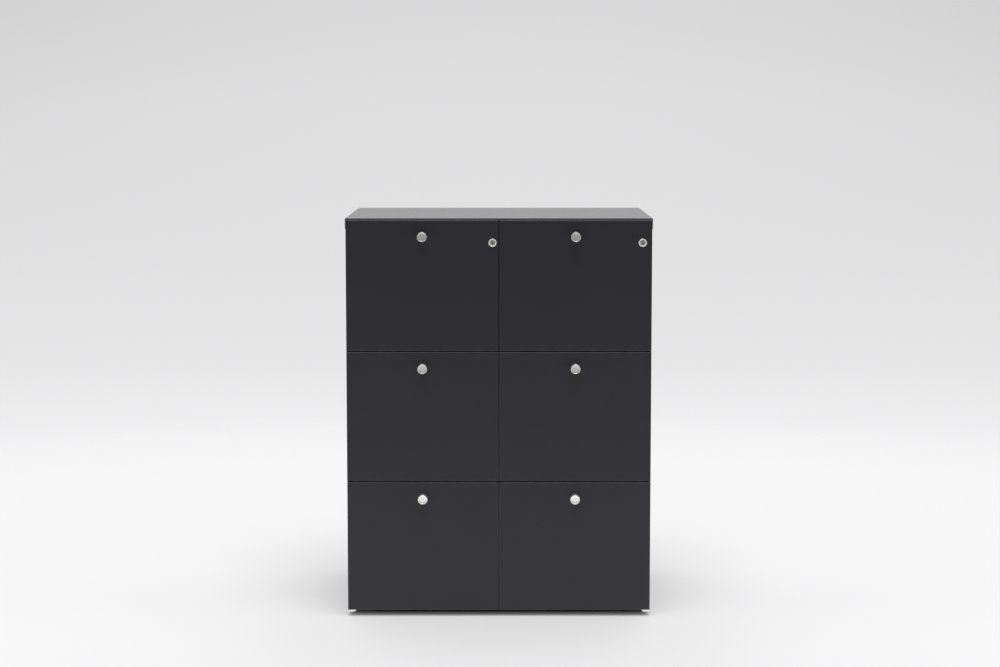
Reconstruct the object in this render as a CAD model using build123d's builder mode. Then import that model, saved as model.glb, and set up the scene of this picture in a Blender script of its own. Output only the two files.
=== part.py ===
# A filing cabinet: two columns of three hanging-file drawers in a laminated board carcass,
# each column with its own central lock. X runs across, Y to the back, Z up, in millimetres.
# The origin is the middle of the floor under the whole cabinet, knobs included.

import math
import os

from build123d import *

# Carcass
top_width = 800
top_board = 28
top_overhang = 2
carcass_depth = 580
board = 18
back_board = 12
board_edge_radius = 1

# Drawer fronts
front_board = 18
front_height = 340
front_gap = 3
front_top_reveal = 4
front_bottom_reveal = 2
front_side_reveal = 1.5
front_standoff = 2
front_edge_radius = 1

# Knobs
knob_diameter = 25
knob_projection = 24
knob_rim = 2.5
knob_dish = 1
knob_drop = 42

# File trays, folded from steel sheet
tray_sheet = 1.2
tray_rise = 22
tray_drop = 68
tray_rear_gap = 45
file_rail_width = 8
file_rail_lip = 10

# Telescopic runners
runner_width = 12.5
runner_height = 45
runner_setback = 24
runner_rear_gap = 44
runner_rise = 70
runner_stay = 20
rail_sheet = 1.2
rail_lip = 3
rail_tip_gap = 3
rail_web_gap = 1.2
rail_side_gap = 0.5
ball_strip = 3
ball_strip_width = 4
ball_strip_inset = 10
running_gap = 0.3

# Locks
lock_drop = 58
lock_inset = 7.5
lock_ring_diameter = 21
lock_ring_thickness = 2.5
lock_barrel_diameter = 18
lock_barrel_flats = 16
lock_barrel_play = 0.1
plug_diameter = 12
plug_play = 0.08
plug_recess = 0.6
plug_tail = 3.5
keyway_width = 1.8
keyway_height = 7
keyway_depth = 8
crank_radius = 4
crank_pin_diameter = 3.6
crank_pin_reach = 1.5
crank_turn = 90

# Lock bars, catches and guides
bar_width = 13
bar_thickness = 6
bar_play = 0.5
bar_setback = 4
bar_foot = 15
bar_head = 8
bar_tab_thickness = 2.5
bar_tab_reach = 9
bar_tab_height = 14
bar_slot_play = 0.35
lock_lug_size = 6
lock_lug_reach = 9
lock_lug_rise = 150
catch_thickness = 8
catch_length = 24
catch_height = 17
catch_play = 1
catch_lead = 3
guide_thickness = 2.5
guide_height = 12
guide_land = 3
guide_rise = 190

# Feet
foot_height = 15
foot_diameter = 24
foot_flange = 9
foot_collar = 14
foot_side_inset = 12
foot_end_inset = 40
stud_diameter = 6
stud_length = 30
stud_play = 0.1

rows = ("bottom", "middle", "top")
columns = ("left", "right")
sides = (-1, 1)

os.makedirs("parts", exist_ok=True)

# Places across
body_width = top_width - 2 * top_overhang
column_width = (body_width - 3 * board) / 2
column_offset = (board + column_width) / 2
column_x = {"left": -column_offset, "right": column_offset}
side_x = (body_width - board) / 2
front_width = (body_width - 2 * front_side_reveal - front_gap) / 2
front_offset = (front_gap + front_width) / 2
front_x = {"left": -front_offset, "right": front_offset}
wall_x = {name: x + column_width / 2 for name, x in column_x.items()}
tray_width = column_width - 2 * runner_width

# Places from front to back
overall_depth = knob_projection + front_board + front_standoff + carcass_depth
front_face_y = -overall_depth / 2 + knob_projection
front_rear_y = front_face_y + front_board
carcass_front_y = front_rear_y + front_standoff
carcass_rear_y = carcass_front_y + carcass_depth
inner_depth = carcass_depth - back_board
foot_ys = (carcass_front_y + foot_end_inset, carcass_rear_y - foot_end_inset)
rail_front_y = carcass_front_y + runner_setback
runner_length = inner_depth - runner_setback - runner_rear_gap
runner_travel = runner_length - runner_stay
tray_length = front_standoff + inner_depth - tray_rear_gap

# Places up
front_bottom_z = foot_height + front_bottom_reveal
row_pitch = front_height + front_gap
row_z = {name: front_bottom_z + index * row_pitch for index, name in enumerate(rows)}
tray_z = {name: z + tray_rise for name, z in row_z.items()}
tray_height = front_height - tray_rise - tray_drop
top_edge_z = row_z["top"] + front_height
overall_height = top_edge_z + front_top_reveal
body_top_z = overall_height - top_board
floor_z = foot_height + board
body_height = body_top_z - foot_height
lock_z = top_edge_z - lock_drop

# Sections of the runner's three rails, measured from the wall and from mid height
ball_track = ball_strip + 2 * running_gap
ball_strip_length = runner_length - runner_travel / 2 - 2 * ball_strip_inset
cabinet_half = runner_height / 2
cabinet_tip = runner_width - rail_tip_gap
middle_half = cabinet_half - rail_sheet - ball_track
middle_web = rail_sheet + rail_web_gap
middle_tip = runner_width - rail_sheet - rail_side_gap
drawer_half = middle_half - rail_sheet - ball_track
drawer_tip = middle_web + rail_sheet + rail_web_gap
outer_strip_u = (middle_web + cabinet_tip - rail_sheet) / 2
inner_strip_u = (drawer_tip + middle_tip - rail_sheet) / 2

# The lock's crank swings the same angle below and above level, and lifts the bar between
crank_half = math.radians(crank_turn / 2)
crank_rise = crank_radius * math.sin(crank_half)
crank_side = crank_radius * math.cos(crank_half)
bar_lift = 2 * crank_rise
bar_front_y = carcass_front_y + bar_setback + bar_play
bar_y = bar_front_y + bar_width / 2
groove_width = bar_width + 2 * bar_play
groove_depth = bar_thickness + 2 * bar_play
slot_z = lock_z - crank_rise
lug_z = {name: z + lock_lug_rise for name, z in tray_z.items()}
bar_bottom_z = lug_z["bottom"] - bar_foot
bar_top_z = slot_z + bar_head
groove_top_z = bar_top_z + bar_lift + bar_play
crank_pin_end_y = bar_front_y + bar_tab_thickness + crank_pin_reach

centre_front_low = (Align.CENTER, Align.MIN, Align.MIN)
wall_middle_low = (Align.MIN, Align.CENTER, Align.MIN)


def facing_front(x, y, z):
    # A plane seen from the front: its own X is across, its own Y is up, its normal is to the front.
    return Plane((x, y, z), x_dir=(1, 0, 0), z_dir=(0, -1, 0))


def facing_drawer(x, y, z):
    # A plane on a column's right wall: its own X is to the back, its normal is towards the drawers.
    return Plane((x, y, z), x_dir=(0, 1, 0), z_dir=(-1, 0, 0))


def save(piece, name):
    piece.part.label = name
    export_step(piece.part, f"parts/{name}.step")


def lock_groove(column):
    # The upright groove in a column's right wall in which the lock bar slides.
    groove_height = groove_top_z - bar_bottom_z
    with BuildSketch(Plane((wall_x[column], bar_y, bar_bottom_z))) as groove:
        Rectangle(groove_depth, groove_width, align=(Align.MIN, Align.CENTER))
    extrude(groove.sketch, amount=groove_height, mode=Mode.SUBTRACT)


def stud_holes(side):
    # Holes for the feet's studs in the lower edge of a side panel.
    stud_x = side * (body_width / 2 - foot_side_inset)
    with BuildSketch(Plane.XY.offset(foot_height)) as holes:
        with Locations(*[(stud_x, y) for y in foot_ys]):
            Circle(stud_diameter / 2 + stud_play)
    extrude(holes.sketch, amount=stud_length + stud_play, mode=Mode.SUBTRACT)


# Top board
with BuildPart(Plane((0, carcass_front_y, body_top_z))) as top_panel:
    Box(top_width, carcass_depth, top_board, align=centre_front_low)
    fillet(top_panel.faces().sort_by(Axis.Z)[-1].edges(), board_edge_radius)
save(top_panel, "top_panel")

# Bottom board, held between the sides
bottom_width = body_width - 2 * board
with BuildPart(Plane((0, carcass_front_y, foot_height))) as bottom_panel:
    Box(bottom_width, inner_depth, board, align=centre_front_low)
save(bottom_panel, "bottom_panel")

# Sides
for side, column in zip(sides, columns):
    with BuildPart(Plane((side * side_x, carcass_front_y, foot_height))) as side_panel:
        Box(board, carcass_depth, body_height, align=centre_front_low)
        stud_holes(side)
        if column == "right":
            lock_groove(column)
    save(side_panel, f"{column}_side_panel")

# Partition between the columns, with the left column's lock groove
with BuildPart(Plane((0, carcass_front_y, floor_z))) as partition:
    Box(board, inner_depth, body_top_z - floor_z, align=centre_front_low)
    lock_groove("left")
save(partition, "partition")

# Back board, let in between the sides behind the partition and the bottom
with BuildPart(Plane((0, carcass_rear_y - back_board, foot_height))) as back_panel:
    Box(bottom_width, back_board, body_height, align=centre_front_low)
save(back_panel, "back_panel")

# Levelling feet under the corners: a glide, a hexagon collar for the spanner and a stud
foot_points = [(side * (body_width / 2 - foot_side_inset), y) for side in sides for y in foot_ys]

with BuildPart() as levelling_feet:
    with BuildSketch():
        with Locations(*foot_points):
            Circle(foot_diameter / 2)
    extrude(amount=foot_flange)
    with BuildSketch(Plane.XY.offset(foot_flange)):
        with Locations(*foot_points):
            RegularPolygon(foot_collar / 2, side_count=6, major_radius=False)
    extrude(amount=foot_height - foot_flange)
    with BuildSketch(Plane.XY.offset(foot_height)):
        with Locations(*foot_points):
            Circle(stud_diameter / 2)
    extrude(amount=stud_length)
save(levelling_feet, "levelling_feet")


def barrel_section(play):
    # The lock barrel: round, with two flats that keep it from turning.
    Circle(lock_barrel_diameter / 2 + play)
    Rectangle(lock_barrel_flats + 2 * play, lock_barrel_diameter + 2 * play, mode=Mode.INTERSECT)


def make_front(row, column):
    with BuildPart(Plane((front_x[column], front_face_y, row_z[row]))) as front:
        Box(front_width, front_board, front_height, align=centre_front_low)
        fillet(front.faces().sort_by(Axis.Y)[0].edges(), front_edge_radius)
        if row == "top":
            with BuildSketch(facing_front(wall_x[column] - lock_inset, front_face_y, lock_z)):
                barrel_section(lock_barrel_play)
            extrude(amount=-front_board, mode=Mode.SUBTRACT)
    return front


def make_knob(row, column):
    # Turned knob with a sunk face inside a rim.
    knob_z = row_z[row] + front_height - knob_drop
    seat = facing_front(front_x[column], front_face_y, knob_z)
    with BuildPart() as knob:
        with BuildSketch(seat):
            Circle(knob_diameter / 2)
        extrude(amount=knob_projection)
        with BuildSketch(seat.offset(knob_projection)):
            Circle(knob_diameter / 2 - knob_rim)
        extrude(amount=-knob_dish, mode=Mode.SUBTRACT)
    return knob


def make_tray(row, column):
    # Open tray with a rail along each upper side edge, folded in and down, for hanging files.
    place = Plane((column_x[column], front_rear_y, tray_z[row]))
    tray_top_z = tray_z[row] + tray_height
    inner_half = tray_width / 2 - tray_sheet
    with BuildPart(place) as tray:
        Box(tray_width, tray_length, tray_height, align=centre_front_low)
        offset(amount=-tray_sheet, openings=tray.faces().sort_by(Axis.Z)[-1])
        with BuildSketch(facing_front(column_x[column], front_rear_y, tray_top_z)):
            with BuildLine():
                Polyline(
                    (inner_half, 0),
                    (inner_half - file_rail_width, 0),
                    (inner_half - file_rail_width, -file_rail_lip),
                    (inner_half - file_rail_width + tray_sheet, -file_rail_lip),
                    (inner_half - file_rail_width + tray_sheet, -tray_sheet),
                    (inner_half, -tray_sheet),
                    close=True,
                )
            make_face()
            mirror(about=Plane.YZ)
        extrude(amount=-tray_length)
    return tray


def channel(web, tip, half_height):
    # A rail's section: web, two flanges and the lips that keep the balls in, all of one sheet.
    inside = Side.LEFT if web > tip else Side.RIGHT
    with BuildLine() as outline:
        Polyline(
            (tip, rail_lip - half_height),
            (tip, -half_height),
            (web, -half_height),
            (web, half_height),
            (tip, half_height),
            (tip, half_height - rail_lip),
        )
        offset(amount=rail_sheet, side=inside, kind=Kind.INTERSECTION)
    make_face(outline.edges())
    mirror(about=Plane.YZ)


def ball_strips(u, track_half, start_y, row, column):
    # The pairs of ball cages, above and below, in both runners of a drawer.
    runner_z = tray_z[row] + runner_rise
    with BuildSketch(facing_front(column_x[column], start_y, runner_z)) as strips:
        for up in sides:
            with Locations((column_width / 2 - u, up * (track_half - ball_track / 2))):
                Rectangle(ball_strip_width, ball_strip)
        mirror(about=Plane.YZ)
    extrude(strips.sketch, amount=-ball_strip_length)


def make_rails(member, row, column):
    half = column_width / 2
    sections = {
        "cabinet": (half, half - cabinet_tip, cabinet_half),
        "middle": (half - middle_web, half - middle_tip, middle_half),
        "drawer": (half - runner_width, half - drawer_tip, drawer_half),
    }
    with BuildPart() as rails:
        with BuildSketch(facing_front(column_x[column], rail_front_y, tray_z[row] + runner_rise)):
            channel(*sections[member])
        extrude(amount=-runner_length)
        if member == "middle":
            rear_strip_y = rail_front_y + runner_length - ball_strip_inset - ball_strip_length
            front_strip_y = rail_front_y + ball_strip_inset
            ball_strips(outer_strip_u, cabinet_half - rail_sheet, rear_strip_y, row, column)
            ball_strips(inner_strip_u, middle_half - rail_sheet, front_strip_y, row, column)
    return rails


def make_catch(row, column):
    # Moulded catch on the tray's right side. Its notch is open below, for the bar's lug.
    tray_side_x = wall_x[column] - runner_width
    catch_z = lug_z[row] + lock_lug_size / 2 + catch_play
    notch_width = lock_lug_size + 2 * catch_play
    with BuildPart(Plane((tray_side_x, bar_y, catch_z))) as catch:
        Box(catch_thickness, catch_length, catch_height, align=wall_middle_low)
        chamfer(catch.edges().filter_by(Axis.X).group_by(Axis.Z)[0], catch_lead)
        Box(catch_thickness, notch_width, bar_lift, align=wall_middle_low, mode=Mode.SUBTRACT)
    return catch


def make_lock_case(column):
    # Ring on the front's face and a barrel through the board, bored for the plug.
    centre = facing_front(wall_x[column] - lock_inset, front_face_y, lock_z)
    with BuildPart() as lock_case:
        with BuildSketch(centre):
            Circle(lock_ring_diameter / 2)
        extrude(amount=lock_ring_thickness)
        with BuildSketch(centre):
            barrel_section(play=0)
        extrude(amount=-front_board)
        with BuildSketch(centre.offset(lock_ring_thickness)):
            Circle(plug_diameter / 2 + plug_play)
        extrude(amount=-lock_ring_thickness - front_board, mode=Mode.SUBTRACT)
    return lock_case


def make_lock_cylinder(column):
    # Plug with a keyway in front and a crank pin behind, which starts below level on the wall's side.
    lock_x = wall_x[column] - lock_inset
    face_y = front_face_y - lock_ring_thickness + plug_recess
    tail_y = front_rear_y + plug_tail
    with BuildPart() as lock_cylinder:
        with BuildSketch(facing_front(lock_x, face_y, lock_z)):
            Circle(plug_diameter / 2)
        extrude(amount=face_y - tail_y)
        with BuildSketch(facing_front(lock_x, face_y, lock_z)):
            Rectangle(keyway_width, keyway_height)
        extrude(amount=-keyway_depth, mode=Mode.SUBTRACT)
        with BuildSketch(facing_front(lock_x + crank_side, tail_y, slot_z)):
            Circle(crank_pin_diameter / 2)
        extrude(amount=tail_y - crank_pin_end_y)
    return lock_cylinder


def make_lock_bar(column):
    # Bar in the wall's groove, with a slotted tab for the crank pin and a lug for each drawer's catch.
    bar_x = wall_x[column] + bar_play
    crank_x = wall_x[column] - lock_inset + crank_side
    slot_height = crank_pin_diameter + 2 * bar_slot_play
    slot_run = crank_radius - crank_side
    with BuildPart() as lock_bar:
        with BuildSketch(Plane((bar_x, bar_y, bar_bottom_z))):
            Rectangle(bar_thickness, bar_width, align=(Align.MIN, Align.CENTER))
        extrude(amount=bar_top_z - bar_bottom_z)
        with BuildSketch(facing_front(bar_x, bar_front_y, slot_z)):
            Rectangle(bar_tab_reach + bar_play, bar_tab_height, align=(Align.MAX, Align.CENTER))
        extrude(amount=-bar_tab_thickness)
        with BuildSketch(facing_front(crank_x + slot_run / 2, bar_front_y, slot_z)):
            SlotCenterToCenter(slot_run, slot_height)
        extrude(amount=-bar_tab_thickness, mode=Mode.SUBTRACT)
        for row in rows:
            with BuildSketch(facing_drawer(bar_x, bar_y, lug_z[row])):
                Rectangle(lock_lug_size, lock_lug_size)
            extrude(amount=lock_lug_reach + bar_play)
    return lock_bar


def make_bar_guides(column):
    # Flat clips across the groove that keep the bar in it.
    with BuildPart() as bar_guides:
        for row in rows:
            with BuildSketch(facing_drawer(wall_x[column], bar_y, tray_z[row] + guide_rise)):
                Rectangle(groove_width + 2 * guide_land, guide_height)
            extrude(amount=guide_thickness)
    return bar_guides


for column in columns:
    save(make_lock_case(column), f"lock_case_{column}")
    save(make_lock_cylinder(column), f"lock_cylinder_{column}")
    save(make_lock_bar(column), f"lock_bar_{column}")
    save(make_bar_guides(column), f"bar_guides_{column}")
    for row in rows:
        save(make_front(row, column), f"front_{row}_{column}")
        save(make_knob(row, column), f"knob_{row}_{column}")
        save(make_tray(row, column), f"file_tray_{row}_{column}")
        save(make_catch(row, column), f"lock_catch_{row}_{column}")
        for member in ("cabinet", "middle", "drawer"):
            save(make_rails(member, row, column), f"{member}_rails_{row}_{column}")
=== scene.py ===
import math

import bmesh
import bpy
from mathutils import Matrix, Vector


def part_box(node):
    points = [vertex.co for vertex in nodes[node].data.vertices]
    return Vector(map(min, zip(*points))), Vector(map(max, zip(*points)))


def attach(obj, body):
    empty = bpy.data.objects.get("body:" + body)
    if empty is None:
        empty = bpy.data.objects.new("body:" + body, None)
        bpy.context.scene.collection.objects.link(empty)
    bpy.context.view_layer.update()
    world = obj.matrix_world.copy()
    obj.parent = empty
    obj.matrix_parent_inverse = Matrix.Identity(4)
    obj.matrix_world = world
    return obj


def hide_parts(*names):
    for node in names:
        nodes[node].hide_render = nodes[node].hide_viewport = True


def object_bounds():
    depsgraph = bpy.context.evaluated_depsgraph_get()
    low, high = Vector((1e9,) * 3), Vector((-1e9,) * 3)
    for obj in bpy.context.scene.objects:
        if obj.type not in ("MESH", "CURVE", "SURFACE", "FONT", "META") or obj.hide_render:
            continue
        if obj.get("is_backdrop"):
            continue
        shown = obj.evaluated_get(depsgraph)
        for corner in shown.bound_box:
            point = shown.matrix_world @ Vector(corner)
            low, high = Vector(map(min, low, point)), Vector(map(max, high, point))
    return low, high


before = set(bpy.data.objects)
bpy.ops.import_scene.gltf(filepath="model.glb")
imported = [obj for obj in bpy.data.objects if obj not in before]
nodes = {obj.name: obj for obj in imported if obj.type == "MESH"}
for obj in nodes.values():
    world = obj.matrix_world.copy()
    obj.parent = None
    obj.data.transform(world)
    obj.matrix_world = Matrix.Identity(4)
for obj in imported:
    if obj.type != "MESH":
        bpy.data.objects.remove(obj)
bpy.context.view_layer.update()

mm = 0.001
rows = ("bottom", "middle", "top")
columns = ("left", "right")
drawers = [f"{row}_{column}" for row in rows for column in columns]


# Node trees

# Noise stays near its middle, so these spans of it are widened to a whole range.
shadeSpan = (0.35, 0.65)
noiseSpan = (0.3, 0.7)


def put(tree, socket, value):
    if isinstance(value, bpy.types.NodeSocket):
        tree.links.new(value, socket)
    else:
        socket.default_value = value


def add(tree, kind, sockets=None, **settings):
    node = tree.nodes.new(kind)
    for key, value in settings.items():
        setattr(node, key, value)
    for key, value in (sockets or {}).items():
        put(tree, node.inputs[key], value)
    return node


def calc(tree, operation, first, second=0.0):
    return add(tree, "ShaderNodeMath", {0: first, 1: second}, operation=operation).outputs[0]


def weighed(tree, first, second, secondShare):
    firstPart = calc(tree, "MULTIPLY", first, 1 - secondShare)
    return calc(tree, "ADD", firstPart, calc(tree, "MULTIPLY", second, secondShare))


def vectorCalc(tree, operation, *values):
    return add(tree, "ShaderNodeVectorMath", dict(enumerate(values)), operation=operation).outputs[0]


def parts(tree, vector):
    return add(tree, "ShaderNodeSeparateXYZ", {0: vector}).outputs


def between(tree, value, fromLow, fromHigh, toLow, toHigh, blend="LINEAR"):
    sockets = {"Value": value, "From Min": fromLow, "From Max": fromHigh, "To Min": toLow, "To Max": toHigh}
    return add(tree, "ShaderNodeMapRange", sockets, interpolation_type=blend).outputs["Result"]


def mixColour(tree, factor, first, second):
    node = add(tree, "ShaderNodeMix", {"Factor": factor}, data_type="RGBA")
    put(tree, node.inputs[6], (*first, 1) if isinstance(first, tuple) else first)
    put(tree, node.inputs[7], (*second, 1) if isinstance(second, tuple) else second)
    return node.outputs[2]


def noise(tree, vector, scale, detail=3):
    sockets = {"Vector": vector, "Scale": scale, "Detail": detail}
    return add(tree, "ShaderNodeTexNoise", sockets).outputs["Fac"]


def newMaterial(name):
    material = bpy.data.materials.new(name)
    material.use_nodes = True
    tree = material.node_tree
    return material, tree, tree.nodes["Principled BSDF"]


def objectPlace(tree):
    return add(tree, "ShaderNodeTexCoord").outputs["Object"]


def stretched(tree, vector, scale):
    return add(tree, "ShaderNodeMapping", {"Vector": vector, "Scale": scale}).outputs["Vector"]


def bump(tree, shader, height, distance, strength):
    node = add(tree, "ShaderNodeBump", {"Height": height, "Distance": distance, "Strength": strength})
    tree.links.new(node.outputs["Normal"], shader.inputs["Normal"])


def paintNode(name, material):
    for slot in nodes[name].material_slots:
        slot.material = material


# Graphite laminate: fine pearl grain on the faces, smoother edge band round each board, whose lighter colour
# is partly the band's own tone and partly a painted highlight on the rounded edges

laminate = {
    "face": (0.0133, 0.0131, 0.0178),
    "speck": (0.0162, 0.0158, 0.0209),
    # Lighter band colour: partly the edge band's own tone, partly a painted highlight on the rounded edges.
    "band": (0.0205, 0.0200, 0.0248),
    "bandWidth": 2.0 * mm,
    "jointWidth": 0.12 * mm,
    "faceRough": (0.42, 0.44),
    "topRough": (0.185, 0.205),
    "bandRough": 0.22,
    "roughScale": 160,
    "ior": 1.5,
    "gloss": 0.35,
    "grainScale": 1300,
    "grainShare": 0.6,
    "grainDepth": 0.02 * mm,
    "cloudScale": 9,
    "cloudShare": 0.3,
    "jointDepth": 0.02 * mm,
    "relief": 0.35,
}


def laminateBoard(name, faceRough):
    # The band's inner edge is found from the board's own box, so every board has its own copy.
    look = laminate
    material, tree, shader = newMaterial("graphiteLaminate_" + name)
    low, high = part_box(name)
    size = high - low
    thin = min(range(3), key=lambda axis: size[axis])
    place = objectPlace(tree)
    away = vectorCalc(tree, "ABSOLUTE", vectorCalc(tree, "SUBTRACT", place, (low + high) / 2))
    inset = parts(tree, vectorCalc(tree, "SUBTRACT", size / 2, away))
    edges = [inset[axis] for axis in range(3) if axis != thin]
    fromEdge = calc(tree, "MINIMUM", *edges)
    half = look["jointWidth"] / 2
    band = between(tree, fromEdge, look["bandWidth"] - half, look["bandWidth"] + half, 1, 0)
    offJoint = calc(tree, "ABSOLUTE", calc(tree, "SUBTRACT", fromEdge, look["bandWidth"]))
    joint = between(tree, offJoint, 0, look["jointWidth"], 1, 0, "SMOOTHSTEP")

    grain = noise(tree, place, look["grainScale"])
    shade = weighed(tree, grain, noise(tree, place, look["cloudScale"]), look["cloudShare"])
    face = mixColour(tree, between(tree, shade, *shadeSpan, 0, 1), look["face"], look["speck"])
    # Near the edges the colour turns lighter: partly band tone, partly painted highlight.
    colour = mixColour(tree, band, face, look["band"])
    put(tree, shader.inputs["Base Color"], mixColour(tree, joint, colour, look["face"]))
    rough = between(tree, noise(tree, place, look["roughScale"]), *noiseSpan, *faceRough)
    rough = between(tree, band, 0, 1, rough, look["bandRough"])
    put(tree, shader.inputs["Roughness"], rough)
    shader.inputs["IOR"].default_value = look["ior"]
    shader.inputs["Specular IOR Level"].default_value = look["gloss"]
    onFace = calc(tree, "MULTIPLY", grain, calc(tree, "SUBTRACT", 1.0, band))
    raised = calc(tree, "MULTIPLY", onFace, look["grainShare"])
    sunk = calc(tree, "MULTIPLY", joint, look["jointDepth"] / look["grainDepth"])
    bump(tree, shader, calc(tree, "SUBTRACT", raised, sunk), look["grainDepth"], look["relief"])
    paintNode(name, material)
    return material


panels = ("top_panel", "bottom_panel", "left_side_panel", "right_side_panel", "partition", "back_panel")
boards = [*panels, *(f"front_{drawer}" for drawer in drawers)]
boardFinish = {}
for board in boards:
    boardFinish[board] = laminateBoard(board, laminate["topRough" if board == "top_panel" else "faceRough"])
print("laminate on", len(boards), "boards")


# Metals, paint and plastics of the fittings

turning = {"detail": 4, "smudgeScale": 220, "smudgeSpan": (0.4, 0.7), "smudgeRough": 0.05,
           "sideFade": 1 * mm, "relief": 0.5}


def turnedMetal(name, look):
    # Fine rings round the axis: the turned pieces carry the way along their profile as a UV map.
    material, tree, shader = newMaterial(name)
    along = parts(tree, add(tree, "ShaderNodeUVMap", uv_map="turned").outputs[0])[1]
    sockets = {"W": along, "Scale": look["ringScale"], "Detail": turning["detail"]}
    rings = add(tree, "ShaderNodeTexNoise", sockets, noise_dimensions="1D").outputs["Fac"]
    smudge = noise(tree, objectPlace(tree), turning["smudgeScale"])
    put(tree, shader.inputs["Base Color"], mixColour(tree, rings, look["dark"], look["light"]))
    smudged = between(tree, smudge, *turning["smudgeSpan"], 0, turning["smudgeRough"])
    rough = calc(tree, "ADD", between(tree, rings, *noiseSpan, *look["rough"]), smudged)
    if "side" in look:
        # The stretch of the profile that is the piece's side is rougher than its face.
        low, high, sideRough = look["side"]
        rising = between(tree, along, low - turning["sideFade"], low, 0, 1)
        falling = between(tree, along, high, high + turning["sideFade"], 1, 0)
        onSide = calc(tree, "MULTIPLY", rising, falling)
        rough = calc(tree, "ADD", rough, calc(tree, "MULTIPLY", onSide, sideRough))
    put(tree, shader.inputs["Roughness"], rough)
    shader.inputs["Metallic"].default_value = 1
    bump(tree, shader, rings, look["ringDepth"], turning["relief"])
    return material


drawing = {"flakeShare": 0.3, "roughSpan": (0.2, 0.8), "relief": 0.4}


def drawnMetal(name, look):
    # Streaks along the way that the sheet or bar was drawn, and a faint spangle.
    material, tree, shader = newMaterial(name)
    place = objectPlace(tree)
    streaks = noise(tree, stretched(tree, place, look["stretch"]), look["streakScale"])
    spangle = add(tree, "ShaderNodeTexVoronoi", {"Vector": place, "Scale": look["spangleScale"]})
    flake = add(tree, "ShaderNodeSeparateColor", {0: spangle.outputs["Color"]}).outputs[0]
    shade = weighed(tree, streaks, flake, drawing["flakeShare"])
    put(tree, shader.inputs["Base Color"], mixColour(tree, shade, look["dark"], look["light"]))
    put(tree, shader.inputs["Roughness"], between(tree, shade, *drawing["roughSpan"], *look["rough"]))
    shader.inputs["Metallic"].default_value = 1
    bump(tree, shader, streaks, look["streakDepth"], drawing["relief"])
    return material


coating = {"cloudScale": 14, "cloudShare": 0.5, "relief": 0.4}


def texturedCoat(name, look):
    # Powder coat and moulded plastics: an even skin with a fine uneven surface.
    material, tree, shader = newMaterial(name)
    place = objectPlace(tree)
    skin = noise(tree, place, look["skinScale"])
    shade = weighed(tree, skin, noise(tree, place, coating["cloudScale"]), coating["cloudShare"])
    light = between(tree, shade, *shadeSpan, 0, 1)
    put(tree, shader.inputs["Base Color"], mixColour(tree, light, look["dark"], look["light"]))
    put(tree, shader.inputs["Roughness"], between(tree, skin, *noiseSpan, *look["rough"]))
    bump(tree, shader, skin, look["skinDepth"], coating["relief"])
    return material


finishes = {
    "knobAluminium": {"dark": (0.68, 0.67, 0.66), "light": (0.80, 0.79, 0.775), "rough": (0.18, 0.26),
                      "ringScale": 5200, "ringDepth": 0.004 * mm, "side": (13 * mm, 35 * mm, 0.2)},
    "lockNickel": {"dark": (0.86, 0.85, 0.835), "light": (0.94, 0.93, 0.915), "rough": (0.44, 0.52),
                   "ringScale": 3600, "ringDepth": 0.002 * mm},
    "plugNickel": {"dark": (0.40, 0.395, 0.38), "light": (0.52, 0.51, 0.495), "rough": (0.22, 0.32),
                   "stretch": (1, 0.1, 1), "streakScale": 2600, "streakDepth": 0.004 * mm,
                   "spangleScale": 900},
    "zincSteel": {"dark": (0.47, 0.48, 0.49), "light": (0.61, 0.62, 0.63), "rough": (0.26, 0.42),
                  "stretch": (1, 0.02, 1), "streakScale": 1500, "streakDepth": 0.01 * mm,
                  "spangleScale": 90},
    "barAluminium": {"dark": (0.49, 0.49, 0.50), "light": (0.60, 0.60, 0.61), "rough": (0.28, 0.40),
                     "stretch": (1, 1, 0.02), "streakScale": 2200, "streakDepth": 0.01 * mm,
                     "spangleScale": 40},
    "trayPaint": {"dark": (0.275, 0.275, 0.285), "light": (0.32, 0.32, 0.33), "rough": (0.46, 0.60),
                  "skinScale": 900, "skinDepth": 0.05 * mm},
    "guidePlastic": {"dark": (0.024, 0.024, 0.026), "light": (0.034, 0.034, 0.036), "rough": (0.48, 0.60),
                     "skinScale": 1800, "skinDepth": 0.03 * mm},
    "footSteel": {"dark": (0.66, 0.66, 0.655), "light": (0.76, 0.76, 0.75), "rough": (0.08, 0.14),
                  "stretch": (1, 1, 8), "streakScale": 400, "streakDepth": 0.001 * mm,
                  "spangleScale": 300},
    "footPlastic": {"dark": (0.56, 0.55, 0.53), "light": (0.66, 0.65, 0.63), "rough": (0.42, 0.55),
                    "skinScale": 1500, "skinDepth": 0.03 * mm},
    "bufferRubber": {"dark": (0.10, 0.10, 0.105), "light": (0.14, 0.14, 0.145), "rough": (0.55, 0.70),
                     "skinScale": 2400, "skinDepth": 0.02 * mm},
}
makers = {
    "knobAluminium": turnedMetal, "lockNickel": turnedMetal, "plugNickel": drawnMetal,
    "zincSteel": drawnMetal, "barAluminium": drawnMetal, "footSteel": drawnMetal,
    "trayPaint": texturedCoat, "guidePlastic": texturedCoat, "footPlastic": texturedCoat,
    "bufferRubber": texturedCoat,
}
finish = {name: makers[name](name, look) for name, look in finishes.items()}

nodeFinish = {"lock_cylinder": "plugNickel", "lock_bar": "barAluminium", "bar_guides": "guidePlastic",
              "lock_catch": "guidePlastic", "file_tray": "trayPaint", "cabinet_rails": "zincSteel",
              "middle_rails": "zincSteel", "drawer_rails": "zincSteel", "levelling_feet": "footPlastic"}
for name in nodes:
    for start, look in nodeFinish.items():
        if name.startswith(start):
            paintNode(name, finish[look])
print("finishes made:", ", ".join(finish))


# Turned pieces: knobs and lock rings

lathe = {"turns": 96, "holeTurns": 64, "sharpFrom": math.radians(40)}


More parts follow.
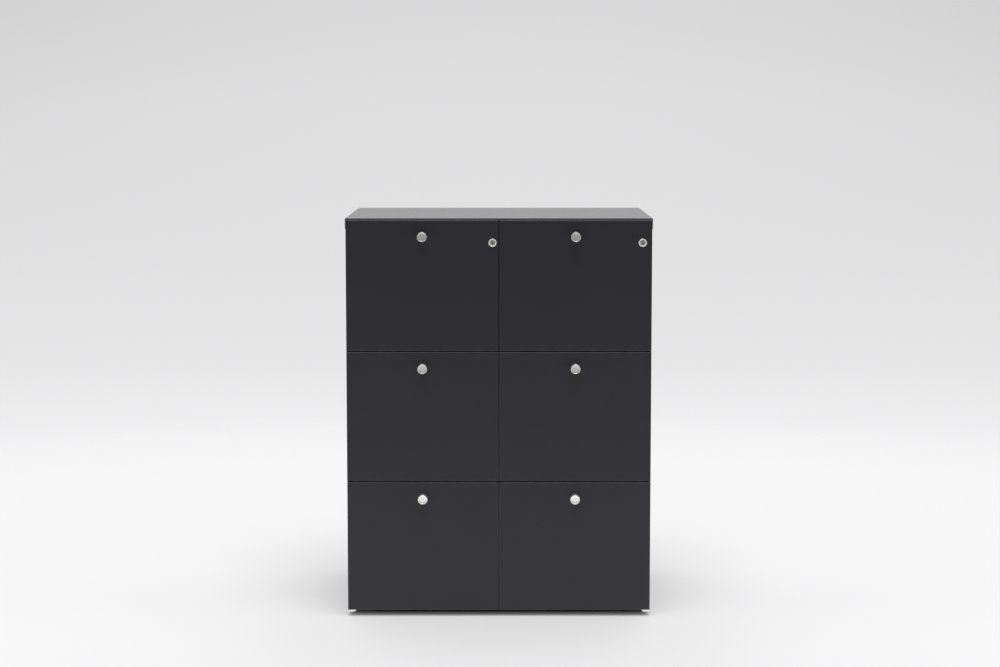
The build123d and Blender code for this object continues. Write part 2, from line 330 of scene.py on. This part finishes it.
def corner(radius, centreOut, centreForward, fromAngle, toAngle, steps=5):
    angles = [math.radians(fromAngle + (toAngle - fromAngle) * i / steps) for i in range(steps + 1)]
    return [(centreOut + radius * math.cos(a), centreForward + radius * math.sin(a)) for a in angles]


def linked(name, data):
    obj = bpy.data.objects.new(name, data)
    bpy.context.scene.collection.objects.link(obj)
    return obj


def latheMesh(name, profile, seat, turns=lathe["turns"], closed=False, flats=None, dull=()):
    # profile holds (out from the axis, forward of the seat); flats cuts some rings off at the sides, and
    # the strips that start at the points in dull take the second finish.
    build = bmesh.new()
    along = build.loops.layers.uv.new("turned")
    angles = [math.tau * i / turns for i in range(turns)]
    rings, way, travelled = [], [], 0.0
    for index, (out, forward) in enumerate(profile):
        if index:
            travelled += math.dist(profile[index], profile[index - 1])
        way.append(travelled)
        if out == 0:
            rings.append([build.verts.new((seat.x, seat.y - forward, seat.z))] * turns)
            continue
        side = flats if flats and index in flats["rings"] else None
        ring = []
        for angle in angles:
            across = out * math.cos(angle)
            if side:
                across = max(-side["half"], min(side["half"], across))
            ring.append(build.verts.new((seat.x + across, seat.y - forward, seat.z + out * math.sin(angle))))
        rings.append(ring)
    pairs = [(i, i + 1) for i in range(len(rings) - 1)]
    if closed:
        pairs.append((len(rings) - 1, 0))
    for first, second in pairs:
        for i in range(turns):
            j = (i + 1) % turns
            loop = [(rings[first][i], i, first), (rings[first][j], i + 1, first),
                    (rings[second][j], i + 1, second), (rings[second][i], i, second)]
            kept = [item for k, item in enumerate(loop) if item[0] not in [x[0] for x in loop[:k]]]
            made = build.faces.new([item[0] for item in kept])
            made.material_index = 1 if first in dull else 0
            for loopCorner, (_, step, ring) in zip(made.loops, kept):
                loopCorner[along].uv = (step / turns, way[ring])
    bmesh.ops.recalc_face_normals(build, faces=build.faces)
    mesh = bpy.data.meshes.new(name)
    build.to_mesh(mesh)
    build.free()
    mesh.shade_smooth()
    mesh.set_sharp_from_angle(angle=lathe["sharpFrom"])
    return linked(name, mesh)


def finishPiece(obj, materials, body, stoodFor=None):
    for material in materials:
        obj.data.materials.append(material)
    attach(obj, body)
    if stoodFor:
        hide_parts(stoodFor)


# The dish has a wall that leans by some degrees, and a ring part of the way over its floor.
knob = {"baseChamfer": 0.3 * mm, "edge": 0.9 * mm, "rim": 2.2 * mm, "lip": 0.3 * mm, "dish": 1.0 * mm,
        "draft": 0.1 * mm, "lean": 10, "floorRing": 0.5}

for drawer in drawers:
    low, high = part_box(f"knob_{drawer}")
    seat = Vector(((low.x + high.x) / 2, high.y, (low.z + high.z) / 2))
    radius, reach = (high.x - low.x) / 2, high.y - low.y
    lip, floor = knob["lip"], reach - knob["dish"]
    dishOut = radius - knob["rim"]
    floorOut = dishOut - knob["draft"]
    outline = [(0, 0), (radius - knob["baseChamfer"], 0), (radius, knob["baseChamfer"])]
    outline += corner(knob["edge"], radius - knob["edge"], reach - knob["edge"], 0, 90)
    outline += corner(lip, dishOut + lip, reach - lip, 90, 180 - knob["lean"])
    outline += corner(lip, floorOut - lip, floor + lip, -knob["lean"], -90)
    outline += [(knob["floorRing"] * floorOut, floor), (0, floor)]
    piece = latheMesh(f"turnedKnob_{drawer}", outline, seat)
    finishPiece(piece, [finish["knobAluminium"]], f"drawer_{drawer}", f"knob_{drawer}")

lockRing = {"bore": 6.08 * mm, "bezelBore": 7.3 * mm, "ring": 2.5 * mm, "faceSink": 0.5 * mm,
            "bevel": 0.3 * mm, "round": 0.9 * mm, "barrel": 9 * mm, "flats": 8 * mm}


def lockSeat(column):
    # The middle of the ring's back, the ring's radius, and how far the barrel goes in.
    low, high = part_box(f"lock_case_{column}")
    seat = Vector(((low.x + high.x) / 2, low.y + lockRing["ring"], (low.z + high.z) / 2))
    return seat, (high.x - low.x) / 2, high.y - seat.y


for column in columns:
    seat, radius, barrelDepth = lockSeat(column)
    # A bright bezel, flat in front with a rounded outer edge, round a duller face that is sunk a little.
    ring, bezelBore, rounding = lockRing["ring"], lockRing["bezelBore"], lockRing["round"]
    face = ring - lockRing["faceSink"]
    outline = [(bezelBore, face), (bezelBore + lockRing["bevel"], ring)]
    outline += corner(rounding, radius - rounding, ring - rounding, 90, 0)
    outline += [(radius, 0), (lockRing["barrel"], 0), (lockRing["barrel"], -barrelDepth)]
    outline += [(lockRing["bore"], -barrelDepth), (lockRing["bore"], face)]
    cut = {"rings": (len(outline) - 4, len(outline) - 3), "half": lockRing["flats"]}
    piece = latheMesh(f"lockRing_{column}", outline, seat, closed=True, flats=cut, dull=(len(outline) - 1,))
    metals = [finish["lockNickel"], finish["plugNickel"]]
    finishPiece(piece, metals, f"drawer_top_{column}", f"lock_case_{column}")
print("turned pieces:", len(drawers), "knobs,", len(columns), "lock rings")


# Boards with rounded edges, where the photograph shows them catching the light

roundedEdge = {"radius": 3.2 * mm, "uprightShare": 0.45, "steps": 6, "band": 0.7 * mm,
               "holePlay": 0.1 * mm, "holePast": 1 * mm}


def settled(obj):
    # Keeps what the modifiers make as a plain mesh.
    mesh = bpy.data.meshes.new_from_object(obj.evaluated_get(bpy.context.evaluated_depsgraph_get()))
    obj.modifiers.clear()
    obj.data = mesh
    mesh.name = obj.name
    return obj


def roundedBoard(name, low, high, hole=None):
    # The laminate is drawn over the top and bottom edges in a wide round, and the ends are banded with
    # a narrow one.
    build = bmesh.new()
    bmesh.ops.create_cube(build, size=1)
    share = build.edges.layers.float.new("bevel_weight_edge")
    for edge in build.edges:
        alongX = abs(edge.verts[0].co.x - edge.verts[1].co.x) > 0.5
        edge[share] = 1 if alongX else roundedEdge["uprightShare"]
    for vert in build.verts:
        vert.co = [low[i] + (vert.co[i] + 0.5) * (high[i] - low[i]) for i in range(3)]
    mesh = bpy.data.meshes.new(name)
    build.to_mesh(mesh)
    build.free()
    mesh.shade_smooth()
    obj = linked(name, mesh)
    rounding = obj.modifiers.new("rounding", "BEVEL")
    rounding.limit_method = "WEIGHT"
    rounding.width = roundedEdge["radius"]
    rounding.segments = roundedEdge["steps"]
    if hole:
        cut = obj.modifiers.new("lockHole", "BOOLEAN")
        cut.operation = "DIFFERENCE"
        cut.object = hole
    obj.modifiers.new("evenNormals", "WEIGHTED_NORMAL")
    return settled(obj)


def lockHole(column):
    # A cutter with the barrel's shape and some play.
    seat, _, barrelDepth = lockSeat(column)
    past = roundedEdge["holePast"]
    out, depth = lockRing["barrel"] + roundedEdge["holePlay"], barrelDepth + past
    outline = [(0, past), (out, past), (out, -depth), (0, -depth)]
    cut = {"rings": (1, 2), "half": lockRing["flats"] + roundedEdge["holePlay"]}
    return latheMesh("lockHole", outline, seat, lathe["holeTurns"], flats=cut)


for drawer in drawers:
    row, column = drawer.split("_")
    name = f"front_{drawer}"
    hole = lockHole(column) if row == "top" else None
    low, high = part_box(name)
    band = Vector((roundedEdge["band"], 0, roundedEdge["band"]))
    piece = roundedBoard(f"roundedFront_{drawer}", low - band, high + band, hole)
    finishPiece(piece, [boardFinish[name]], f"drawer_{drawer}", name)
    if hole:
        bpy.data.objects.remove(hole)
piece = roundedBoard("roundedTop", *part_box("top_panel"))
finishPiece(piece, [boardFinish["top_panel"]], "carcass", "top_panel")
print("rounded boards:", len(drawers) + 1)


# Small repeated pieces, grown on points by geometry nodes

def newTree(name, sizes):
    tree = bpy.data.node_groups.new(name, "GeometryNodeTree")
    tree.interface.new_socket("Geometry", in_out="INPUT", socket_type="NodeSocketGeometry")
    for label in sizes:
        tree.interface.new_socket(label, in_out="INPUT", socket_type="NodeSocketFloat")
    tree.interface.new_socket("Finish", in_out="INPUT", socket_type="NodeSocketMaterial")
    tree.interface.new_socket("Geometry", in_out="OUTPUT", socket_type="NodeSocketGeometry")
    return tree, tree.nodes.new("NodeGroupInput").outputs, tree.nodes.new("NodeGroupOutput")


def growOnPoints(tree, given, end, shape):
    # Sets one copy of the shape on every point, its Z along the point's axis.
    aim = add(tree, "GeometryNodeInputNamedAttribute", {"Name": "axis"}, data_type="FLOAT_VECTOR")
    turn = add(tree, "FunctionNodeAlignRotationToVector", {"Vector": aim.outputs["Attribute"]}, axis="Z")
    sockets = {"Points": given["Geometry"], "Instance": shape, "Rotation": turn.outputs["Rotation"]}
    copies = add(tree, "GeometryNodeInstanceOnPoints", sockets)
    real = add(tree, "GeometryNodeRealizeInstances", {"Geometry": copies.outputs["Instances"]})
    sockets = {"Geometry": real.outputs["Geometry"], "Material": given["Finish"]}
    dressed = add(tree, "GeometryNodeSetMaterial", sockets)
    tree.links.new(dressed.outputs["Geometry"], end.inputs["Geometry"])


def lifted(tree, mesh, height):
    lift = add(tree, "ShaderNodeCombineXYZ", {"Z": height}).outputs[0]
    return add(tree, "GeometryNodeTransform", {"Geometry": mesh, "Translation": lift}).outputs["Geometry"]


def domed(tree, radius, height, shape):
    # A disc whose upper part is drawn in by steps of (share of the height, share of the width).
    base = calc(tree, "MULTIPLY", height, shape["skirt"])
    sockets = {"Vertices": shape["sides"], "Radius": radius, "Depth": base}
    disc = add(tree, "GeometryNodeMeshCylinder", sockets, fill_type="NGON")
    mesh, top = disc.outputs["Mesh"], disc.outputs["Top"]
    for rise, width in shape["steps"]:
        sockets = {"Mesh": mesh, "Selection": top, "Offset Scale": calc(tree, "MULTIPLY", height, rise)}
        push = add(tree, "GeometryNodeExtrudeMesh", sockets, mode="FACES")
        top = push.outputs["Top"]
        sockets = {"Geometry": push.outputs["Mesh"], "Selection": top, "Scale": width}
        mesh = add(tree, "GeometryNodeScaleElements", sockets, domain="FACE").outputs["Geometry"]
    return lifted(tree, mesh, calc(tree, "MULTIPLY", base, 0.5))


# recessLength is a share of the head's radius.
screwHead = {"skirt": 0.45, "steps": ((0.3, 0.9), (0.25, 0.66)), "sides": 24, "recessLength": 1.1}
padDisc = {"skirt": 0.5, "steps": ((0.3, 0.97), (0.2, 0.9)), "sides": 32}
# The cup narrows upwards by about 5 degrees, with close rings that hold its rim and shoulder.
cupDisc = {"skirt": 0.04, "sides": 64,
           "steps": ((0.05, 0.9967), (0.66, 0.956), (0.05, 0.9967), (0.12, 0.96), (0.08, 0.86))}


def screwTree():
    # The recess is cut by two crossed blades, whose middle is at the top of the head.
    tree, given, end = newTree("panScrews", ("Head Diameter", "Head Height", "Recess Width", "Recess Depth"))
    radius = calc(tree, "MULTIPLY", given["Head Diameter"], 0.5)
    head = domed(tree, radius, given["Head Height"], screwHead)
    length = calc(tree, "MULTIPLY", radius, screwHead["recessLength"])
    deep = calc(tree, "MULTIPLY", given["Recess Depth"], 2.0)
    recess = add(tree, "GeometryNodeMeshBoolean", {"Mesh 1": head}, operation="DIFFERENCE", solver="EXACT")
    for wide, long in ((length, given["Recess Width"]), (given["Recess Width"], length)):
        size = add(tree, "ShaderNodeCombineXYZ", {"X": wide, "Y": long, "Z": deep})
        blade = add(tree, "GeometryNodeMeshCube", {"Size": size.outputs[0]}).outputs["Mesh"]
        tree.links.new(lifted(tree, blade, given["Head Height"]), recess.inputs["Mesh 2"])
    growOnPoints(tree, given, end, recess.outputs["Mesh"])
    return tree


def discTree(name, shape):
    tree, given, end = newTree(name, ("Diameter", "Height"))
    radius = calc(tree, "MULTIPLY", given["Diameter"], 0.5)
    growOnPoints(tree, given, end, domed(tree, radius, given["Height"], shape))
    return tree


grownSharpFrom = math.radians(35)


def growPiece(name, tree, sizes, material, spots):
    mesh = bpy.data.meshes.new(name + "Points")
    mesh.from_pydata([spot for spot, _ in spots], [], [])
    aims = mesh.attributes.new("axis", "FLOAT_VECTOR", "POINT")
    for item, (_, axis) in zip(aims.data, spots):
        item.vector = axis
    obj = linked(name, mesh)
    grower = obj.modifiers.new("grow", "NODES")
    grower.node_group = tree
    values = {**sizes, "Finish": material}
    for socket in tree.interface.items_tree:
        if socket.in_out == "INPUT" and socket.name in values:
            grower[socket.identifier] = values[socket.name]
    grown = settled(obj).data
    # The tree's shapes start with an empty material slot.
    grown.materials.pop(index=0)
    grown.shade_smooth()
    grown.set_sharp_from_angle(angle=grownSharpFrom)
    return obj


panScrews = screwTree()
roundPads = discTree("roundPads", padDisc)
pressedCups = discTree("pressedCups", cupDisc)
toBack, toLeft, toRight, upwards = (0, 1, 0), (-1, 0, 0), (1, 0, 0), (0, 0, 1)

knobScrew = {"Head Diameter": 8.5 * mm, "Head Height": 2.6 * mm,
             "Recess Width": 1.3 * mm, "Recess Depth": 1.4 * mm}
trayScrew = {"Head Diameter": 7 * mm, "Head Height": 2.1 * mm,
             "Recess Width": 1.1 * mm, "Recess Depth": 1.1 * mm}
trayFixing = {"sheet": 1.2 * mm, "frontInset": 48 * mm, "low": 45 * mm, "high": 205 * mm,
              "railPlaces": (0.1, 0.5, 0.9), "catchSpread": 7 * mm}
buffer = {"Diameter": 7 * mm, "Height": 1.8 * mm, "endInset": 30 * mm,
          "sideInset": 6.5 * mm, "partitionInset": 4 * mm}

for drawer in drawers:
    body = f"drawer_{drawer}"
    frontLow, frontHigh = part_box(f"front_{drawer}")
    knobLow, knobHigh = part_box(f"knob_{drawer}")
    trayLow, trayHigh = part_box(f"file_tray_{drawer}")
    railLow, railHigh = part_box(f"drawer_rails_{drawer}")
    catchLow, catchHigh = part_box(f"lock_catch_{drawer}")

    behind = [((knobLow.x / 2 + knobHigh.x / 2, frontHigh.y, knobLow.z / 2 + knobHigh.z / 2), toBack)]
    piece = growPiece(f"knobScrew_{drawer}", panScrews, knobScrew, finish["zincSteel"], behind)
    finishPiece(piece, [], body)

    sheet = trayFixing["sheet"]
    inner = trayLow.y + sheet
    spots = [((x, inner, trayLow.z + z), toBack)
             for x in (trayLow.x + trayFixing["frontInset"], trayHigh.x - trayFixing["frontInset"])
             for z in (trayFixing["low"], trayFixing["high"])]
    railZ = (railLow.z + railHigh.z) / 2
    for share in trayFixing["railPlaces"]:
        y = railLow.y + share * (railHigh.y - railLow.y)
        spots += [((trayLow.x + sheet, y, railZ), toRight), ((trayHigh.x - sheet, y, railZ), toLeft)]
    catchY, catchZ = (catchLow.y + catchHigh.y) / 2, (catchLow.z + catchHigh.z) / 2
    for side in (-1, 1):
        spots.append(((trayHigh.x - sheet, catchY + side * trayFixing["catchSpread"], catchZ), toLeft))
    piece = growPiece(f"trayScrews_{drawer}", panScrews, trayScrew, finish["zincSteel"], spots)
    finishPiece(piece, [], body)

    insets = (buffer["sideInset"], buffer["partitionInset"])
    leftInset, rightInset = insets if drawer.endswith("left") else reversed(insets)
    spots = [((x, frontHigh.y, z), toBack)
             for x in (frontLow.x + leftInset, frontHigh.x - rightInset)
             for z in (frontLow.z + buffer["endInset"], frontHigh.z - buffer["endInset"])]
    piece = growPiece(f"closingBuffers_{drawer}", roundPads, buffer, finish["bufferRubber"], spots)
    finishPiece(piece, [], body)
print("screws and buffers on", len(drawers), "drawers")

camCap = {"Diameter": 17 * mm, "Height": 1.0 * mm, "fromBoard": 34 * mm, "fromEnd": 70 * mm}
underTop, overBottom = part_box("top_panel")[0].z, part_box("bottom_panel")[1].z
innerFront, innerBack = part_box("partition")[0].y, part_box("partition")[1].y
wallFaces = [(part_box("left_side_panel")[1].x, toRight), (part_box("partition")[0].x, toLeft),
             (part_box("partition")[1].x, toRight), (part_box("right_side_panel")[0].x, toLeft)]
spots = [((x, y, z), axis) for x, axis in wallFaces
         for y in (innerFront + camCap["fromEnd"], innerBack - camCap["fromEnd"])
         for z in (underTop - camCap["fromBoard"], overBottom + camCap["fromBoard"])]
piece = growPiece("camCaps", roundPads, camCap, finish["guidePlastic"], spots)
finishPiece(piece, [], "carcass")
print("cam caps:", len(spots))

footCup = {"Diameter": 25 * mm, "Height": 8.4 * mm, "sole": 0.4 * mm, "inset": 12 * mm}
feetLow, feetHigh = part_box("levelling_feet")
spots = [((x, y, feetLow.z + footCup["sole"]), upwards)
         for x in (feetLow.x + footCup["inset"], feetHigh.x - footCup["inset"])
         for y in (feetLow.y + footCup["inset"], feetHigh.y - footCup["inset"])]
piece = growPiece("footCups", pressedCups, footCup, finish["footSteel"], spots)
finishPiece(piece, [], "carcass")
print("foot cups:", len(spots))


# Studio: pale floor that fades into a pale backdrop, soft light from above, in front and the backdrop

studio = {
    "floorRadius": 16.0,
    "floorSides": 128,
    "fadeFrom": 1.6,
    "fadeTo": 4.2,
    "floorColour": (0.653, 0.649, 0.660),
    "floorGlow": 0.23,
    "glowEdge": (-65 * mm, 20 * mm),
    "sideSteep": 3.0,
    # The floor's painted glow is a little stronger ahead to both sides: by how much, and where that rises
    # outwards from the carcass and forwards.
    "sideGlow": 0.032,
    "sideGlowOut": (0.04, 0.34),
    "sideGlowAhead": (0.0, -0.6),
    # Distance ahead of the cabinet's middle, and the floor's level there for what it shines on: a painted
    # pool of light, brightest near the cabinet, that the camera does not see straight on.
    "floorAhead": ((0.3, 1.55), (1.6, 1.5), (2.4, 1.0), (5.7, 0.57), (10, 0.36)),
    "domeLight": 0.34,
    "wallLight": 1.44,
    "wallSpread": 1.4,
    "sunStrength": 1.68,
    "sunWidth": 43,
    "sunTilt": (19, 0, 5),
    # Sine of the height above the horizon and the level there: the backdrop, and the darker room ahead
    # of the fronts that only shows in reflections.
    "backdrop": ((-0.177, 0.926), (-0.146, 0.863), (-0.114, 0.796), (-0.067, 0.757), (-0.004, 0.745),
                 (0.043, 0.701), (0.5, 0.62)),
    "backdropTint": (1, 0.997, 1.012),
    "room": ((-0.20, 1.0), (-0.17, 0.86), (-0.12, 0.52), (-0.06, 0.39), (0.0, 0.30), (0.1, 0.20),
             (0.4, 0.15)),
    "roomStart": (-0.3, -0.8),
    # The backdrop darkens to both sides, from the heights in sideFallRise upwards.
    "sideFall": 1.6,
    "sideFallRise": (-0.08, 0.04),
    "sideFallMost": 0.12,
}


def isSeen(tree):
    # Rays that look at the backdrop, straight or in a reflection.
    light = add(tree, "ShaderNodeLightPath").outputs
    direct = calc(tree, "MAXIMUM", light["Is Camera Ray"], light["Is Glossy Ray"])
    return calc(tree, "MAXIMUM", direct, light["Is Transmission Ray"])


def levelRamp(tree, value, stops, tint=(1, 1, 1)):
    lowest, highest = stops[0][0], stops[-1][0]
    ramp = add(tree, "ShaderNodeValToRGB", {"Fac": between(tree, value, lowest, highest, 0, 1)})
    while len(ramp.color_ramp.elements) < len(stops):
        ramp.color_ramp.elements.new(0.5)
    for stop, (place, level) in zip(ramp.color_ramp.elements, stops):
        stop.position = (place - lowest) / (highest - lowest)
        stop.color = (*(level * share for share in tint), 1)
    return ramp.outputs["Color"]


def glowLevel(tree, place):
    # The floor's own glow ends at the carcass, so that the shade under it stays dark.
    low = Vector((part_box("left_side_panel")[0].x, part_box("front_bottom_left")[0].y, 0))
    high = Vector((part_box("right_side_panel")[1].x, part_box("back_panel")[1].y, 0))
    middle, half = (low + high) / 2, (high - low) / 2
    away = vectorCalc(tree, "ABSOLUTE", vectorCalc(tree, "SUBTRACT", place, middle))
    outside = parts(tree, vectorCalc(tree, "SUBTRACT", away, half))
    nearest = calc(tree, "MAXIMUM", calc(tree, "MULTIPLY", outside["X"], studio["sideSteep"]), outside["Y"])
    glow = between(tree, nearest, *studio["glowEdge"], 0, studio["floorGlow"], "SMOOTHSTEP")
    # A little more painted glow on the floor to both sides ahead of the cabinet.
    outwards = between(tree, outside["X"], *studio["sideGlowOut"], 0, studio["sideGlow"], "SMOOTHSTEP")
    forwards = between(tree, parts(tree, place)["Y"], *studio["sideGlowAhead"], 0, 1, "SMOOTHSTEP")
    return calc(tree, "ADD", glow, calc(tree, "MULTIPLY", outwards, forwards))


def makeFloor():
    build = bmesh.new()
    sides, radius = studio["floorSides"], studio["floorRadius"]
    bmesh.ops.create_circle(build, cap_ends=True, segments=sides, radius=radius)
    mesh = bpy.data.meshes.new("studioFloor")
    build.to_mesh(mesh)
    build.free()
    floor = linked("studioFloor", mesh)
    material, tree, shader = newMaterial("studioFloor")
    tree.nodes.remove(shader)
    place = objectPlace(tree)
    light = add(tree, "ShaderNodeLightPath").outputs
    away = add(tree, "ShaderNodeVectorMath", {0: place}, operation="LENGTH").outputs["Value"]
    fade = between(tree, away, studio["fadeFrom"], studio["fadeTo"], 0, 1, "SMOOTHSTEP")
    ahead = calc(tree, "MULTIPLY", parts(tree, place)["Y"], -1.0)
    # Painted pool of light on the floor, seen only by rays that are not camera rays.
    falling = levelRamp(tree, ahead, studio["floorAhead"])
    left = mixColour(tree, light["Is Camera Ray"], falling, (1.0, 1.0, 1.0))
    colour = vectorCalc(tree, "MULTIPLY", left, studio["floorColour"])
    matt = add(tree, "ShaderNodeBsdfDiffuse", {"Color": colour})
    glow = add(tree, "ShaderNodeEmission", {"Color": left, "Strength": glowLevel(tree, place)})
    solid = add(tree, "ShaderNodeAddShader", {0: matt.outputs[0], 1: glow.outputs[0]})
    clear = add(tree, "ShaderNodeBsdfTransparent")
    faded = calc(tree, "MULTIPLY", fade, light["Is Camera Ray"])
    both = add(tree, "ShaderNodeMixShader", {0: faded, 1: solid.outputs[0], 2: clear.outputs[0]})
    tree.links.new(both.outputs[0], tree.nodes["Material Output"].inputs["Surface"])
    material.cycles.emission_sampling = "NONE"
    mesh.materials.append(material)
    floor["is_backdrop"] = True


def makeBackdrop():
    world = bpy.data.worlds.new("studioBackdrop")
    world.use_nodes = True
    tree = world.node_tree
    tree.nodes.clear()
    way = parts(tree, add(tree, "ShaderNodeTexCoord").outputs["Generated"])
    aside = calc(tree, "MULTIPLY", way["X"], way["X"])
    rise = between(tree, way["Z"], *studio["sideFallRise"], 0, studio["sideFall"])
    fall = calc(tree, "MINIMUM", calc(tree, "MULTIPLY", aside, rise), studio["sideFallMost"])
    fall = calc(tree, "SUBTRACT", 1.0, fall)
    reflected = add(tree, "ShaderNodeLightPath").outputs["Is Glossy Ray"]
    inRoom = between(tree, way["Y"], *studio["roomStart"], 0, 1, "SMOOTHSTEP")
    ahead = calc(tree, "MULTIPLY", reflected, inRoom)
    backdrop = levelRamp(tree, way["Z"], studio["backdrop"], studio["backdropTint"])
    level = mixColour(tree, ahead, backdrop, levelRamp(tree, way["Z"], studio["room"]))
    seen = add(tree, "ShaderNodeBackground", {"Color": level, "Strength": fall})
    wall = calc(tree, "POWER", calc(tree, "MAXIMUM", way["Y"], 0.0), studio["wallSpread"])
    light = calc(tree, "ADD", calc(tree, "MULTIPLY", wall, studio["wallLight"]), studio["domeLight"])
    dome = add(tree, "ShaderNodeBackground", {"Color": (1, 1, 1, 1), "Strength": light})
    both = add(tree, "ShaderNodeMixShader", {0: isSeen(tree), 1: dome.outputs[0], 2: seen.outputs[0]})
    add(tree, "ShaderNodeOutputWorld", {"Surface": both.outputs[0]})
    # Light is only taken where a ray meets the backdrop, so each kind of ray gets its own level.
    world.cycles.sampling_method = "NONE"
    bpy.context.scene.world = world


def makeSun():
    sun = bpy.data.lights.new("softSun", "SUN")
    sun.energy = studio["sunStrength"]
    sun.angle = math.radians(studio["sunWidth"])
    linked("softSun", sun).rotation_euler = [math.radians(v) for v in studio["sunTilt"]]


makeFloor()
makeBackdrop()
makeSun()

view = {"lens": 79.5, "place": (0.0029, -5.9975, 1.3484), "tilt": 5.996}
camera = linked("camera", bpy.data.cameras.new("camera"))
camera.data.lens = view["lens"]
camera.location = view["place"]
camera.rotation_euler = (math.radians(90 - view["tilt"]), 0, 0)
bpy.context.scene.camera = camera
bpy.context.scene.view_settings.view_transform = "Standard"
print("studio and camera set")

low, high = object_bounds()
print("visual box", [round(v, 4) for v in high - low])
